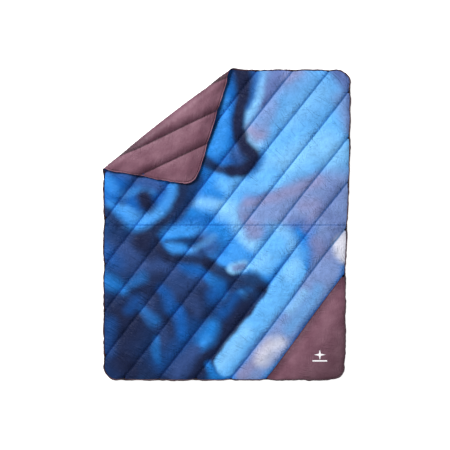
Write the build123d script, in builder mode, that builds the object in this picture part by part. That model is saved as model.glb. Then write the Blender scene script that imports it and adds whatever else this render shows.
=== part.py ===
"""Down-filled camp blanket, laid flat with one corner turned back over its face.

The blanket lies on the XY plane, face up. X runs across it, Y along it, and the origin is under
its middle, on the ground. Two shells of thin fabric are sewn through along slanting lines, which
leaves a row of long chambers full of down. A seam across the middle divides the blanket into a
lower and an upper half, and the upper half's left corner is turned back along a slanting fold.

Each zone (lower half, upper half, corner) is drawn as it lies when the blanket is spread out. The
corner is drawn on a plane that is already turned over, so that it rests on the upper half.
"""

from dataclasses import dataclass
from math import cos, radians, sin
import os

from build123d import *

# The spread blanket, in millimetres.
width = 1450.0
length = 1830.0
corner_radius = 85.0
loft = 32.0  # thickness of one layer at the middle of a chamber
seam_height = 12.0  # height of every sewn line above the ground
fabric = 0.8  # one layer of shell fabric, thicker than the real cloth
hem = 5.0  # flat border, where face and back are sewn together

# Quilting: sewn lines at a slant, one pitch apart.
quilt_angle = 52.0  # degrees from X
quilt_pitch = 166.0
first_line = -918.0  # distance across the lines from the middle of the blanket
line_count = 11
seam_half = 1.5  # half the width that a sewn line presses flat
curl = 45.0  # how far from a sewn line the back reaches the ground

# Down: it stops short of the fabric, more at a chamber's pinched sides.
down_gap = 2.5
side_gap = 2.0

# Slope of a chamber's ends, in degrees from upright.
face_taper = 55.0
back_taper = 48.0

# The turned corner: a hinge line, and the width of fabric that the bend takes on each side of it.
fold_angle = 38.0  # degrees from X
fold_offset = 708.0  # distance of the hinge line from the middle of the blanket
fold_margin = 32.0
roll_gap = 0.4
roll_end = 18.0  # how far inside the blanket's edges the bend's full thickness ends

# The seam across the middle, where the halves hinge.
middle_gap = 1.0

# Thread, and the mark on the corner panel.
thread_wide = 1.0
thread_high = 0.6
edge_stitch_inset = 2.5
mark_x, mark_y = 565.0, -762.0
mark_tall = 22.0  # star, centre to top point
mark_wide = 28.0  # star, centre to side point
mark_slim = 6.0
mark_bar = (86.0, 8.0)
mark_bar_drop = 34.0
mark_thick = 0.4

beyond = 3000.0  # larger than the blanket, for cutting shapes
face_rise = loft - seam_height
across = (sin(radians(quilt_angle)), -cos(radians(quilt_angle)))
fold_out = (-sin(radians(fold_angle)), cos(radians(fold_angle)))
corner_reach = (
    (width / 2 - corner_radius) * abs(across[0])
    + (length / 2 - corner_radius) * abs(across[1])
    + corner_radius
    + hem
)
lines = [first_line + i * quilt_pitch for i in range(line_count)]
borders = [-corner_reach, *lines, corner_reach]  # chamber i lies between borders i and i + 1


def on_fold(distance):
    """A point on the line parallel to the fold, that distance beyond the hinge line."""
    out = fold_offset + distance
    return (fold_out[0] * out, fold_out[1] * out)


def turned_over():
    """The plane of the spread blanket after half a turn about the hinge line."""
    x, y = on_fold(0)
    slant = radians(2 * fold_angle)
    return Plane(origin=(2 * x, 2 * y, 2 * loft), x_dir=(cos(slant), sin(slant), 0), z_dir=(0, 0, -1))


@dataclass
class Zone:
    """One stretch of the blanket, with the plane it lies on and the chambers that it holds."""

    name: str
    base: Plane
    chambers: range

    def draw(self, inset=0.0):
        """Draws the zone's outline, smaller by inset, in the sketch that is open."""
        RectangleRounded(width, length, corner_radius)
        if self.name == "lower":
            with Locations((0, -middle_gap / 2)):
                Rectangle(beyond, beyond, align=(Align.CENTER, Align.MAX), mode=Mode.INTERSECT)
        if self.name == "upper":
            with Locations((0, middle_gap / 2)):
                Rectangle(beyond, beyond, align=(Align.CENTER, Align.MIN), mode=Mode.INTERSECT)
            with Locations(on_fold(-fold_margin)):
                Rectangle(
                    beyond,
                    beyond,
                    rotation=fold_angle,
                    align=(Align.CENTER, Align.MAX),
                    mode=Mode.INTERSECT,
                )
        if self.name == "corner":
            with Locations(on_fold(fold_margin)):
                Rectangle(
                    beyond,
                    beyond,
                    rotation=fold_angle,
                    align=(Align.CENTER, Align.MIN),
                    mode=Mode.INTERSECT,
                )
        if inset:
            offset(amount=-inset, mode=Mode.REPLACE)

    def section(self):
        """The plane across the chambers: its X is the distance across the sewn lines, its Y the height."""
        x_dir = self.base.x_dir * across[0] + self.base.y_dir * across[1]
        return Plane(self.base.origin, x_dir=x_dir, z_dir=x_dir.cross(self.base.z_dir))


lower = Zone("lower", Plane.XY, range(3, 12))
upper = Zone("upper", Plane.XY, range(2, 10))
corner = Zone("corner", turned_over(), range(0, 3))


def draw_chamber(i, clearance, side, face=True, back=True):
    """A chamber's cross-section: a bow on the face side and a flat-bottomed bow on the back side."""
    left = borders[i] + seam_half + side
    right = borders[i + 1] - seam_half - side
    middle = (left + right) / 2
    ground = clearance
    with BuildLine() as outline:
        if face:
            ThreePointArc((left, seam_height), (middle, loft - clearance), (right, seam_height))
        else:
            Line((left, seam_height), (right, seam_height))
        if back:
            TangentArc((right - curl, ground), (right, seam_height), tangent=(1, 0))
            Line((left + curl, ground), (right - curl, ground))
            TangentArc((left + curl, ground), (left, seam_height), tangent=(-1, 0))
        else:
            Line((right, seam_height), (left, seam_height))
    make_face(outline.edges())


def pocket(zone, inset, up=True, down=True):
    """The space in a zone that slopes down to its border all round, as a solid."""
    with BuildPart() as space:
        if up:
            with BuildSketch(zone.base.offset(seam_height)):
                zone.draw(inset)
            extrude(amount=face_rise, taper=face_taper)
        if down:
            with BuildSketch(zone.base.offset(seam_height)):
                zone.draw(inset)
            extrude(amount=-seam_height, taper=back_taper)
    return space.part


def save(part, label):
    """Writes one finished piece to its own file."""
    part.label = label
    export_step(part, f"parts/{label}.step")


def shell(zone, chambers, label, face):
    """One layer of fabric over (face) or under (back) some of a zone's chambers, with its hem."""
    layer = fabric if face else -fabric
    section = zone.section()
    first, last = borders[chambers[0]], borders[chambers[-1] + 1]
    with BuildPart() as hollow:
        add(pocket(zone, hem + 2 * fabric, up=face, down=not face))
        with BuildSketch(section):
            for i in chambers:
                draw_chamber(i, fabric, side_gap, face=face, back=not face)
        extrude(amount=beyond, both=True, mode=Mode.INTERSECT)
    with BuildPart() as cover:
        add(pocket(zone, hem, up=face, down=not face))
        with BuildSketch(section):
            for i in chambers:
                draw_chamber(i, 0, 0, face=face, back=not face)
        extrude(amount=beyond, both=True, mode=Mode.INTERSECT)
        with BuildSketch(zone.base.offset(seam_height)):
            zone.draw()
        extrude(amount=layer)
        add(hollow.part, mode=Mode.SUBTRACT)
        with BuildSketch(section):
            with Locations(((first + last) / 2, seam_height)):
                Rectangle(last - first, 2 * loft)
        extrude(amount=beyond, both=True, mode=Mode.INTERSECT)
    save(cover.part, label)


def down(zone):
    """The down in each of a zone's chambers."""
    space = pocket(zone, hem + 2 * fabric + down_gap)
    for i in zone.chambers:
        with BuildPart() as filling:
            add(space)
            with BuildSketch(zone.section()):
                draw_chamber(i, fabric + down_gap, side_gap + down_gap)
            extrude(amount=beyond, both=True, mode=Mode.INTERSECT)
        save(filling.part, f"down_{zone.name}_{i + 1:02d}")


def quilt_thread(zone):
    """Thread along the sewn lines: one run on the face and one on the back of each."""
    with BuildPart() as thread:
        with BuildSketch(zone.section()):
            for line in lines:
                for side in (1, -1):
                    with Locations((line, seam_height + side * (fabric + thread_high / 2))):
                        Rectangle(thread_wide, thread_high)
        extrude(amount=beyond, both=True)
        with BuildSketch(zone.base):
            zone.draw(hem + 1)
        extrude(amount=loft, mode=Mode.INTERSECT)
    save(thread.part, f"quilt_thread_{zone.name}")


def edge_thread(zone):
    """Thread round the border, on the hem's face side."""
    level = seam_height + fabric
    with BuildPart() as thread:
        with BuildSketch(zone.base.offset(level)):
            RectangleRounded(width, length, corner_radius)
            offset(amount=-edge_stitch_inset, mode=Mode.REPLACE)
        extrude(amount=thread_high)
        with BuildSketch(zone.base.offset(level)):
            RectangleRounded(width, length, corner_radius)
            offset(amount=-edge_stitch_inset - thread_wide, mode=Mode.REPLACE)
        extrude(amount=thread_high, mode=Mode.SUBTRACT)
        with BuildSketch(zone.base):
            zone.draw()
        extrude(amount=loft, mode=Mode.INTERSECT)
    save(thread.part, f"edge_thread_{zone.name}")


def seam_thread(zone, side):
    """Top-stitching beside the middle seam, on one half's hem."""
    with BuildPart() as thread:
        with BuildSketch(zone.base.offset(seam_height + fabric)):
            with Locations((0, side * (middle_gap / 2 + edge_stitch_inset))):
                Rectangle(width - 4 * hem, thread_wide)
        extrude(amount=thread_high)
    save(thread.part, f"seam_thread_{zone.name}")


def fold_roll():
    """The rounded bend that joins the turned corner to the upper half, as a bar along the fold."""
    start = Vector(*on_fold(-fold_margin + roll_gap), loft)
    run = Vector(cos(radians(fold_angle)), sin(radians(fold_angle)), 0)
    with BuildPart() as roll:
        with BuildSketch(Plane(start, x_dir=Vector(*fold_out, 0), z_dir=run)):
            Ellipse(fold_margin - roll_gap, loft - seam_height - fabric)
            Rectangle(beyond, beyond, align=(Align.MIN, Align.CENTER), mode=Mode.INTERSECT)
        extrude(amount=beyond, both=True)
        with BuildSketch():
            Rectangle(width - 2 * roll_end, length - 2 * roll_end)
        extrude(amount=2 * loft, mode=Mode.INTERSECT)
    save(roll.part, "corner_fold_roll")


def mark():
    """A plain four-pointed star over a bar, pressed on the corner panel and as curved as it is."""
    left = borders[-2] + seam_half
    right = borders[-1] - seam_half
    top = Vector((left + right) / 2, loft)
    with BuildPart() as badge:
        with BuildSketch(lower.section()):
            with BuildLine() as bow:
                under = ThreePointArc((left, seam_height), top, (right, seam_height))
                over = ThreePointArc(
                    (left, seam_height + mark_thick),
                    top + (0, mark_thick),
                    (right, seam_height + mark_thick),
                )
                Line(under @ 0, over @ 0)
                Line(under @ 1, over @ 1)
            make_face()
        extrude(amount=beyond, both=True)
        with BuildSketch():
            with Locations((mark_x, mark_y)):
                for tall, wide in ((mark_tall, mark_slim), (mark_slim, mark_wide)):
                    Polygon((0, tall), (-wide, 0), (0, -tall), (wide, 0))
            with Locations((mark_x, mark_y - mark_bar_drop)):
                Rectangle(*mark_bar)
        extrude(amount=2 * loft, mode=Mode.INTERSECT)
    save(badge.part, "corner_mark")


os.makedirs("parts", exist_ok=True)

shell(lower, lower.chambers[:-1], "face_lower_panel", face=True)
shell(lower, lower.chambers[-1:], "face_corner_panel", face=True)
shell(upper, upper.chambers, "face_upper_panel", face=True)
shell(corner, corner.chambers, "face_turned_corner", face=True)
for zone in (lower, upper, corner):
    shell(zone, zone.chambers, f"back_{zone.name}", face=False)
    down(zone)
    quilt_thread(zone)
    edge_thread(zone)
seam_thread(lower, -1)
seam_thread(upper, 1)
fold_roll()
mark()
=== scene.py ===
"""Down-filled camp blanket with a printed face, lying flat with one corner turned back.

Every fabric layer is drawn as it lies when the blanket is spread out, in metres. Cloth simulation
puffs it between its sewn lines. placed() then draws its edges in and folds the corner over, as the
CAD has it. Its print is worked out point by point from strokes of dye, a few of which are painted
shade along seams and beside the turned corner.
"""

from math import cos, pi, radians, sin

import bmesh
import bpy
import numpy as np
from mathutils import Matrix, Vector, noise
from mathutils.geometry import delaunay_2d_cdt
from mathutils.kdtree import KDTree


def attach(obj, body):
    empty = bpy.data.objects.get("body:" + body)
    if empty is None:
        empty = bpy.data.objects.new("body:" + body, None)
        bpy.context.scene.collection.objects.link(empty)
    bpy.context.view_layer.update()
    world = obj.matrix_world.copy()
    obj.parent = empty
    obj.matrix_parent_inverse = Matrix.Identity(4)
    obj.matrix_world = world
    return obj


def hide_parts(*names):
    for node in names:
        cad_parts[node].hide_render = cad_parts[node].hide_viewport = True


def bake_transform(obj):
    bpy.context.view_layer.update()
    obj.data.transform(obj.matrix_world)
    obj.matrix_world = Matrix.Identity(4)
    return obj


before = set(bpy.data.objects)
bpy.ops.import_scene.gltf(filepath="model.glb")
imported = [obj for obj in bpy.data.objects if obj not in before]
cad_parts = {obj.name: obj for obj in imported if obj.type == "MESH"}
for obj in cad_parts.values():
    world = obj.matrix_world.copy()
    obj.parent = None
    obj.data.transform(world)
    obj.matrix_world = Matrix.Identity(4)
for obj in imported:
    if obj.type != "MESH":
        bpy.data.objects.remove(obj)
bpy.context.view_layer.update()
rng = np.random.default_rng(11)

# The spread blanket, as in the CAD.
WIDTH, LENGTH, CORNER = 1.45, 1.83, 0.085
LOFT, SEAM_Z = 0.032, 0.012
QUILT = radians(52)
PITCH = 0.166
LINES = [-0.918 + i * PITCH for i in range(11)]
FOLD = radians(38)
FOLD_AT = 0.708

# The fabrics.
RIM = 0.006  # the lining's rolled edge stands this far outside the face fabric
HALF = np.array((WIDTH / 2 - RIM, LENGTH / 2 - RIM))  # half the size of the sewn outline
ROUND = CORNER - RIM  # the radius of its corners
BAND = 0.014  # half the width of the strip that bends at the middle seam
BEND = 0.05  # half the width of fabric that the turned corner's bend takes
CREST = 0.0183  # the face's greatest height over its sewn lines
SIM_SCALE = 10  # the cloths are simulated at this many times their size
USUAL_PUFF = 0.0165  # how high the simulated cloth stands in the middle of a tube
STEP = 0.009  # the fabric meshes' point spacing
ROW = 0.866  # their rows are this share of it apart, as in a grid of equal triangles
JITTER = 0.22  # and their points lie up to this share of it off the grid
SAME = 1e-3  # points closer than this are taken for one

# How the sewing draws the outline in.
FULL = 0.0012  # how far the edge stands out between two quilting lines
PINCH = 0.0042  # how far a quilting line draws it in
LEAN_OUT, LEAN = 0.006, 0.030  # the right side stands out at its top, and lower down comes in by this

# How the turned corner's layers bend, bulge and droop.
TIGHTEST = 0.0016  # the radius of the innermost layer
INNER_BEND = 0.15  # its share of BEND
BULGE, TUCK = 0.005, 0.004  # how far the lining swells out of the fold, and the face keeps back from it
SHORTER = 0.1  # the share by which the corner lies short
DROOP = 0.014  # how far its edges come down
CLEAR = 0.0018  # how near it comes to the face that it lies on

ACROSS = np.array((sin(QUILT), -cos(QUILT)))
ALONG = np.array((cos(QUILT), sin(QUILT)))
FOLD_OUT = np.array((-sin(FOLD), cos(FOLD)))
FOLD_RUN = np.array((cos(FOLD), sin(FOLD)))


# ------------------------ flat pattern


def smooth(t):
    """0 up to t = 0, 1 from t = 1, and an even S between."""
    t = np.clip(t, 0, 1)
    return t * t * (3 - 2 * t)


def edge_distance(p):
    """How far inside the sewn outline each flat point is."""
    d = np.abs(p[:, :2]) - HALF + ROUND
    outside = np.linalg.norm(np.maximum(d, 0), axis=1)
    return ROUND - outside - np.minimum(np.max(d, axis=1), 0)


def outward(p):
    """The direction away from the middle of the nearest edge, at each flat point."""
    d = np.abs(p[:, :2]) - HALF + ROUND
    corner = np.maximum(d, 0)
    flat_side = np.where(d[:, :1] > d[:, 1:], np.array((1.0, 0.0)), np.array((0.0, 1.0)))
    n = np.where(np.min(d, axis=1, keepdims=True) > 0, corner, flat_side)
    n = n / np.maximum(np.linalg.norm(n, axis=1, keepdims=True), 1e-9)
    return n * np.sign(p[:, :2])


def seam_distance(p):
    """Distance to the nearest quilting line."""
    q = p[:, :2] @ ACROSS
    return np.min(np.abs(q[:, None] - np.array(LINES)[None]), axis=1)


def outline_points(step):
    """The sewn outline as points, anticlockwise: each corner's arc and then the side after it."""
    x, y = HALF - ROUND
    arcs = ((0, x, y), (90, -x, y), (180, -x, -y), (270, x, -y))
    points = []
    for start, cx, cy in arcs:
        n = int(ROUND * pi / 2 / step)
        for i in range(n):
            a = radians(start + 90 * i / n)
            points.append((cx + ROUND * cos(a), cy + ROUND * sin(a)))
        a = radians(start + 90)
        here = np.array((cx + ROUND * cos(a), cy + ROUND * sin(a)))
        side = np.array((-sin(a), cos(a)))
        run = 2 * (x if start in (0, 180) else y)
        m = int(run / step)
        points += [tuple(here + side * run * i / m) for i in range(m)]
    return points


def crossings(outline, normal, offset):
    """Where the outline crosses the line normal . p = offset, as (position in the outline, point)."""
    found = []
    values = [float(np.dot(normal, p)) - offset for p in outline]
    for i, a in enumerate(values):
        b = values[(i + 1) % len(values)]
        if a * b < 0:
            t = a / (a - b)
            p, r = np.array(outline[i]), np.array(outline[(i + 1) % len(outline)])
            found.append((i + t, tuple(p + (r - p) * t)))
    return found


def flat_pattern(step):
    """Points and triangles of the spread blanket, with edges along every sewn line."""
    levels = (-BAND, 0.0, BAND)
    outline = outline_points(step)
    cuts = [(ACROSS, line) for line in LINES] + [(np.array((0.0, 1.0)), y) for y in levels]
    ends = [crossings(outline, n, c) for n, c in cuts]
    inserted = sorted(e for pair in ends for e in pair)
    # The outline's own points stay where no crossing is near.
    kept = []
    for i, p in enumerate(outline):
        if min(abs(i - position) for position, _ in inserted) > 0.4:
            kept.append((i, p))
    loop = [p for _, p in sorted(kept + inserted)]
    points = list(loop)
    edges = [(i, (i + 1) % len(loop)) for i in range(len(loop))]
    quilts, rows = ends[: len(LINES)], ends[len(LINES) :]

    def add_line(pair, meetings, axis):
        """Points along a sewn line, from edge to edge through its meetings with other lines."""
        a, b = sorted((p for _, p in pair), key=lambda p: p[axis])
        stops = [a, *(p for p in meetings if a[axis] + SAME < p[axis] < b[axis] - SAME), b]
        line = [a]
        for a, b in zip(stops[:-1], stops[1:]):
            a, b = np.array(a), np.array(b)
            n = max(1, round(float(np.linalg.norm(b - a)) / step))
            line += [tuple(a + (b - a) * i / n) for i in range(1, n + 1)]
        base = len(points)
        points.extend(line)
        edges.extend((base + i, base + i + 1) for i in range(len(line) - 1))

    def meeting(line, y):
        """Where a quilting line is at the height y."""
        return ((line + y * cos(QUILT)) / sin(QUILT), y)

    for line, pair in zip(LINES, quilts):
        add_line(pair, [meeting(line, y) for y in levels], 1)
    for y, pair in zip(levels, rows):
        add_line(pair, [meeting(line, y) for line in LINES], 0)

    # The points between the lines, on a shaken grid that keeps half a step off every line.
    columns, lines = int(WIDTH / step) + 2, int(LENGTH / (step * ROW)) + 2
    gx, gy = np.meshgrid(np.arange(columns), np.arange(lines))
    x = (gx + 0.5 * (gy % 2)) * step - WIDTH / 2
    y = gy * step * ROW - LENGTH / 2
    inside = np.stack([x.ravel(), y.ravel()], axis=1)
    inside += rng.uniform(-JITTER, JITTER, inside.shape) * step
    clear = (edge_distance(inside) > 0.6 * step) & (seam_distance(inside) > 0.55 * step)
    for level in levels:
        clear &= np.abs(inside[:, 1] - level) > 0.5 * step
    points += [tuple(p) for p in inside[clear]]
    made = delaunay_2d_cdt([Vector(p) for p in points], edges, [], 1, 1e-5, False)
    flat = np.array([tuple(v) for v in made[0]])
    triangles = np.array([f for f in made[2] if len(f) == 3])
    u, v, w = (flat[triangles[:, i]] for i in range(3))
    area = np.cross(v - u, w - u)
    triangles = np.where(area[:, None] < 0, triangles[:, ::-1], triangles)
    return flat, triangles


def boundary_loop(triangles):
    """The points round the outside of a triangle mesh, in order."""
    sides = {}
    for t in triangles.tolist():
        for a, b in zip(t, t[1:] + t[:1]):
            if (b, a) in sides:
                del sides[(b, a)]
            else:
                sides[(a, b)] = True
    follow = dict(sides.keys())
    start = next(iter(follow))
    loop = [start]
    while follow[loop[-1]] != start:
        loop.append(follow[loop[-1]])
    return np.array(loop)


# ------------------------ puffing


def clumps(p, size, seed):
    """Smooth seeded noise over flat points, about -1 to 1."""
    shift = Vector((seed * 7.3, seed * 3.1, 0.0))
    return np.array([noise.noise(Vector((x / size, y / size, 0.0)) + shift) for x, y in p[:, :2]]) * 1.6


def bow(p):
    """A plain puffed height, from 0 on a sewn line to 1 in the middle of a tube."""
    side = smooth(seam_distance(p) / (PITCH / 2))
    return np.sqrt(side) * smooth(edge_distance(p) / 0.04)


# How each fabric is cut and blown up. slack is the share by which the cloth is cut longer than the
# space between its sewn lines, along and across a tube.
FACE_CLOTH = {"slack": (0.065, 0.04), "pressure": 2.5, "seed": 1}
LINING_CLOTH = {"slack": (0.055, 0.035), "pressure": 2.0, "seed": 2}
FRAMES = 24


def start_cloth(name, flat, triangles, pinned, slack, pressure, seed):
    """A cloth over the flat pattern, held at its sewn lines, that is cut too long and blown up."""
    mesh = bpy.data.meshes.new(name)
    p = np.column_stack([flat, 0.0008 * clumps(flat, 0.03, seed)]) * SIM_SCALE
    p[pinned, 2] = 0
    mesh.from_pydata(p.tolist(), [], triangles.tolist())
    cloth = bpy.data.objects.new(name, mesh)
    bpy.context.collection.objects.link(cloth)
    hold = cloth.vertex_groups.new(name="hold")
    hold.add([int(i) for i in np.flatnonzero(pinned)], 1.0, "REPLACE")
    cloth.shape_key_add(name="start")
    cut = cloth.shape_key_add(name="cut")
    uneven = 0.0035 * clumps(flat, 0.10, seed + 30) + 0.0012 * clumps(flat, 0.035, seed + 40)
    longer = np.outer(flat @ ALONG * slack[0] + uneven, ALONG)
    longer += np.outer(flat @ ACROSS * slack[1], ACROSS)
    as_cut = p + np.column_stack([longer, np.zeros(len(flat))]) * SIM_SCALE
    cut.data.foreach_set("co", as_cut.astype(np.float32).ravel())
    modifier = cloth.modifiers.new("cloth", "CLOTH")
    modifier.collision_settings.use_collision = False
    modifier.point_cache.frame_end = 60
    settings = modifier.settings
    settings.quality = 5
    settings.mass = 0.2
    settings.tension_stiffness = 20
    settings.compression_stiffness = 20
    settings.shear_stiffness = 12
    settings.bending_stiffness = 0.03
    settings.tension_damping = 8
    settings.compression_damping = 8
    settings.shear_damping = 8
    settings.bending_damping = 0.5
    settings.air_damping = 3
    settings.rest_shape_key = cut
    settings.use_pressure = True
    settings.uniform_pressure_force = pressure
    settings.vertex_group_mass = "hold"
    settings.pin_stiffness = 1
    settings.effector_weights.gravity = 0
    return cloth


def run_cloths(cloths, frames):
    """Runs the cloths together and returns where their points end up, at real size."""
    for f in range(1, frames + 1):
        bpy.context.scene.frame_set(f)
    graph = bpy.context.evaluated_depsgraph_get()
    results = []
    for cloth in cloths:
        points = np.empty(len(cloth.data.vertices) * 3, np.float32)
        cloth.evaluated_get(graph).data.vertices.foreach_get("co", points)
        results.append(points.reshape(-1, 3).astype(float) / SIM_SCALE)
        bpy.data.objects.remove(cloth)
    bpy.context.scene.frame_set(1)
    return results


def puffed(flat, triangles):
    """How far the puffing moves each point of the face and of the lining, in the plane and up."""
    # Held on a quilting line, at the edge and on the middle seam.
    pinned = (seam_distance(flat) < 1e-4) | (edge_distance(flat) < 2e-3) | (np.abs(flat[:, 1]) < 1e-5)
    face_cut = start_cloth("face", flat, triangles, pinned, **FACE_CLOTH)
    lining_cut = start_cloth("lining", flat, triangles, pinned, **LINING_CLOTH)
    results = run_cloths([face_cut, lining_cut], FRAMES)
    moves = [r - np.column_stack([flat, np.zeros(len(flat))]) for r in results]
    for m in moves:
        m[:, 1] *= smooth(np.abs(np.abs(flat[:, 1]) - BAND) / 0.01)
        m[:, 2] = np.abs(m[:, 2])
    return moves


def shaped(h, limit):
    """Puffed heights made steeper beside the seams and rounder on top, and kept under a limit."""
    h = limit * (h / USUAL_PUFF) ** 0.8
    return h / (1 + (h / limit) ** 4) ** 0.25


# ------------------------ from pattern to place


def settled(p):
    """Flat points after the sewing has drawn the edges in and the lower half has slimmed a little."""
    p = p.copy()
    # The edge bows out a little between the quilting lines and is pinched in at each of them.
    pinch = np.abs(np.cos(pi * (p[:, :2] @ ACROSS - LINES[0]) / PITCH)) ** 10
    ripple = 0.0016 * clumps(p, 0.06, 5) + 0.0022 * clumps(p, 0.25, 6)
    move = (FULL - PINCH * pinch + ripple) * smooth(1 - edge_distance(p) / 0.07)
    p[:, :2] += outward(p) * move[:, None]
    slim = LEAN_OUT - LEAN * smooth((0.62 - p[:, 1]) / 1.05)
    p[:, 0] += slim * smooth((p[:, 0] - 0.2) / 0.5)
    return p


def turned(p):
    """Flat points to their places with the corner turned back over the face."""
    s = p[:, :2] @ FOLD_OUT - FOLD_AT  # how far past the fold line
    run = p[:, :2] @ FOLD_RUN  # and how far along it
    # The layers bend half round about the loft's height, the inner ones in a sharper bend.
    r = np.maximum(LOFT - p[:, 2], TIGHTEST)
    puff = np.clip(r / LOFT, 0, 1)
    bend = BEND * (INNER_BEND + (1 - INNER_BEND) * puff)
    angle = pi / 2 * (1 + np.clip(s / bend, -1, 1))
    sharp = -np.abs(s)
    rounded = np.where(np.abs(s) < bend, -bend * (1 - np.sin(angle)), sharp)
    out = sharp + (rounded - sharp) * puff
    # At the fold the tubes push the lining out, and the face inside it stays back.
    tube = 1 - np.exp(-((seam_distance(p) / 0.03) ** 2))
    bulge = ((BULGE + BULGE * tube) * puff - TUCK * (1 - puff)) * smooth(edge_distance(p) / 0.06)
    out += bulge * np.exp(-((s / 0.02) ** 2))
    # What is turned lies a little shorter, and its edges droop onto the face.
    out *= 1 - SHORTER * smooth(s / 0.12)
    z = LOFT - r * np.cos(angle)
    droop = DROOP * smooth(1 - edge_distance(p) / 0.08) * smooth(s / 0.08)
    lowest = LOFT + CLEAR + 0.05 * (z - LOFT)
    z = np.where(s > 0.004, np.maximum(z - droop, lowest), z)
    xy = FOLD_RUN * run[:, None] + FOLD_OUT * (FOLD_AT + out)[:, None]
    return np.column_stack([np.where((s > -BEND)[:, None], xy, p[:, :2]), z])


def placed(p):
    """Flat points, with their heights, to their places on the blanket at rest."""
    return turned(settled(p))


# ------------------------ pieces


def point_normals(points, triangles):
    """Smooth normals of a whole sheet, which its pieces share where they are cut apart."""
    a, b, c = (points[triangles[:, i]] for i in range(3))
    n = np.cross(b - a, c - a)
    total = np.zeros_like(points)
    for i in range(3):
        np.add.at(total, triangles[:, i], n)
    return total / np.maximum(np.linalg.norm(total, axis=1, keepdims=True), 1e-12)


def piece(name, points, faces, material, flat=None, normals=None):
    """A smooth mesh object. flat gives its UVs: where each point lies on the spread blanket."""
    faces = np.asarray(faces)
    used, index = np.unique(faces, return_inverse=True)
    mesh = bpy.data.meshes.new(name)
    mesh.from_pydata(points[used].tolist(), [], index.reshape(faces.shape).tolist())
    mesh.materials.append(material)
    mesh.shade_smooth()
    if flat is not None:
        corners = np.empty(len(mesh.loops), np.int32)
        mesh.loops.foreach_get("vertex_index", corners)
        uv = mesh.uv_layers.new(name="flat")
        uv.data.foreach_set("uv", flat[used][corners][:, :2].astype(np.float32).ravel())
    if normals is not None:
        mesh.normals_split_custom_set_from_vertices(normals[used].tolist())
    made = bpy.data.objects.new(name, mesh)
    bpy.context.collection.objects.link(made)
    return made


def rim(flat, loop, start):
    """Points, triangles and flat places of the lining's rolled edge, joined to the lining's outline."""
    # How far out and how far up from the sewn edge, round the roll.
    section = (
        (0.003, -0.0042),
        (0.006, -0.0030),
        (0.0072, 0.0002),
        (0.0058, 0.0036),
        (0.0022, 0.0046),
        (-0.0012, 0.0022),
    )
    base = flat[loop]
    n = outward(base)
    size = 1 + 0.28 * clumps(base, 0.022, 8) + 0.2 * clumps(base, 0.08, 9)
    rings = [np.column_stack([base + n * (x * size)[:, None], SEAM_Z + z * size]) for x, z in section]
    places = [base + n * x for x, _ in section]
    ids = [loop] + [start + k * len(loop) + np.arange(len(loop)) for k in range(len(section))]
    faces = []
    for a, b in zip(ids[:-1], ids[1:]):
        a2, b2 = np.roll(a, -1), np.roll(b, -1)
        faces += [np.column_stack([a, b, a2]), np.column_stack([a2, b, b2])]
    return np.concatenate(rings), np.concatenate(faces), np.concatenate(places)


def stitches(name, runs, material, length=0.0036, gap=0.0022, wide=0.0005, over=0.0007):
    """A row of thread stitches along each run. A run is (first, last, up): flat ends and its side."""
    shape = np.array([(-1, 0, -0.4), (1, 0, -0.4), (0, 1, 0), (0, -1, 0), (0, 0, 1), (0, 0, -1)])
    tips = [(0, 2, 4), (0, 4, 3), (0, 3, 5), (0, 5, 2), (1, 4, 2), (1, 3, 4), (1, 5, 3), (1, 2, 5)]
    points, faces = [], []
    for a, b, up in runs:
        a, b = np.array(a), np.array(b)
        span = float(np.linalg.norm(b - a))
        n = int(span / (length + gap))
        if n < 1:
            continue
        d = (b - a) / span
        side = np.array((-d[1], d[0]))
        for i in range(n):
            middle = a + d * (i + 0.5) * span / n
            xy = middle + np.outer(shape[:, 0] * length / 2, d) + np.outer(shape[:, 1] * wide, side)
            z = SEAM_Z + up * (over + shape[:, 2] * wide)
            faces.append(np.array(tips) + len(shape) * len(points))
            points.append(np.column_stack([xy, z]))
    return piece(name, placed(np.concatenate(points)), np.concatenate(faces), material)


def down(name, low, high, region, material, line_gap=0.010, edge_gap=0.022, columns=40):
    """The down in one tube: a closed, lumpy lens between two quilting lines, under both fabrics."""
    run = np.linspace(-1.3, 1.3, 1301)
    grid = []
    for q in np.linspace(low + line_gap, high - line_gap, 9):
        p = ACROSS * q + np.outer(run, ALONG)
        ok = (edge_distance(p) > edge_gap) & region(p)
        if ok.any():
            stretch = np.linspace(run[ok][0], run[ok][-1], columns)
            grid.append(ACROSS * q + np.outer(stretch, ALONG))
    p = np.concatenate(grid)
    rows = len(grid)
    across = np.repeat(np.linspace(-1, 1, rows), columns)
    along = np.tile(np.linspace(-1, 1, columns), rows)
    room = np.minimum(1, 5 * (1 - np.abs(along))) * (1 - across**2)
    puff = np.sqrt(np.clip(room, 0, 1)) * (0.75 + 0.12 * clumps(p, 0.03, 3))
    near = [pattern_tree.find_n((x, y, 0), 6) for x, y in p]
    above = np.array([min(face_room[i] for _, i, _ in found) for found in near])
    below = np.array([min(back_room[i] for _, i, _ in found) for found in near])
    top = placed(np.column_stack([p, SEAM_Z + above * puff]))
    under = placed(np.column_stack([p, SEAM_Z - below * puff]))
    faces = []
    for i in range(rows - 1):
        for a in range(i * columns, (i + 1) * columns - 1):
            square = np.array((a, a + 1, a + 1 + columns, a + columns))
            faces += [square[::-1], square + rows * columns]
    made = piece(name, np.concatenate([top, under]), faces, material)
    work = bmesh.new()
    work.from_mesh(made.data)
    bmesh.ops.remove_doubles(work, verts=work.verts, dist=0.0002)
    bmesh.ops.recalc_face_normals(work, faces=work.faces)
    work.to_mesh(made.data)
    work.free()
    return made


# ------------------------ materials

WEAVE_DEPTH = 0.00012


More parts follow.
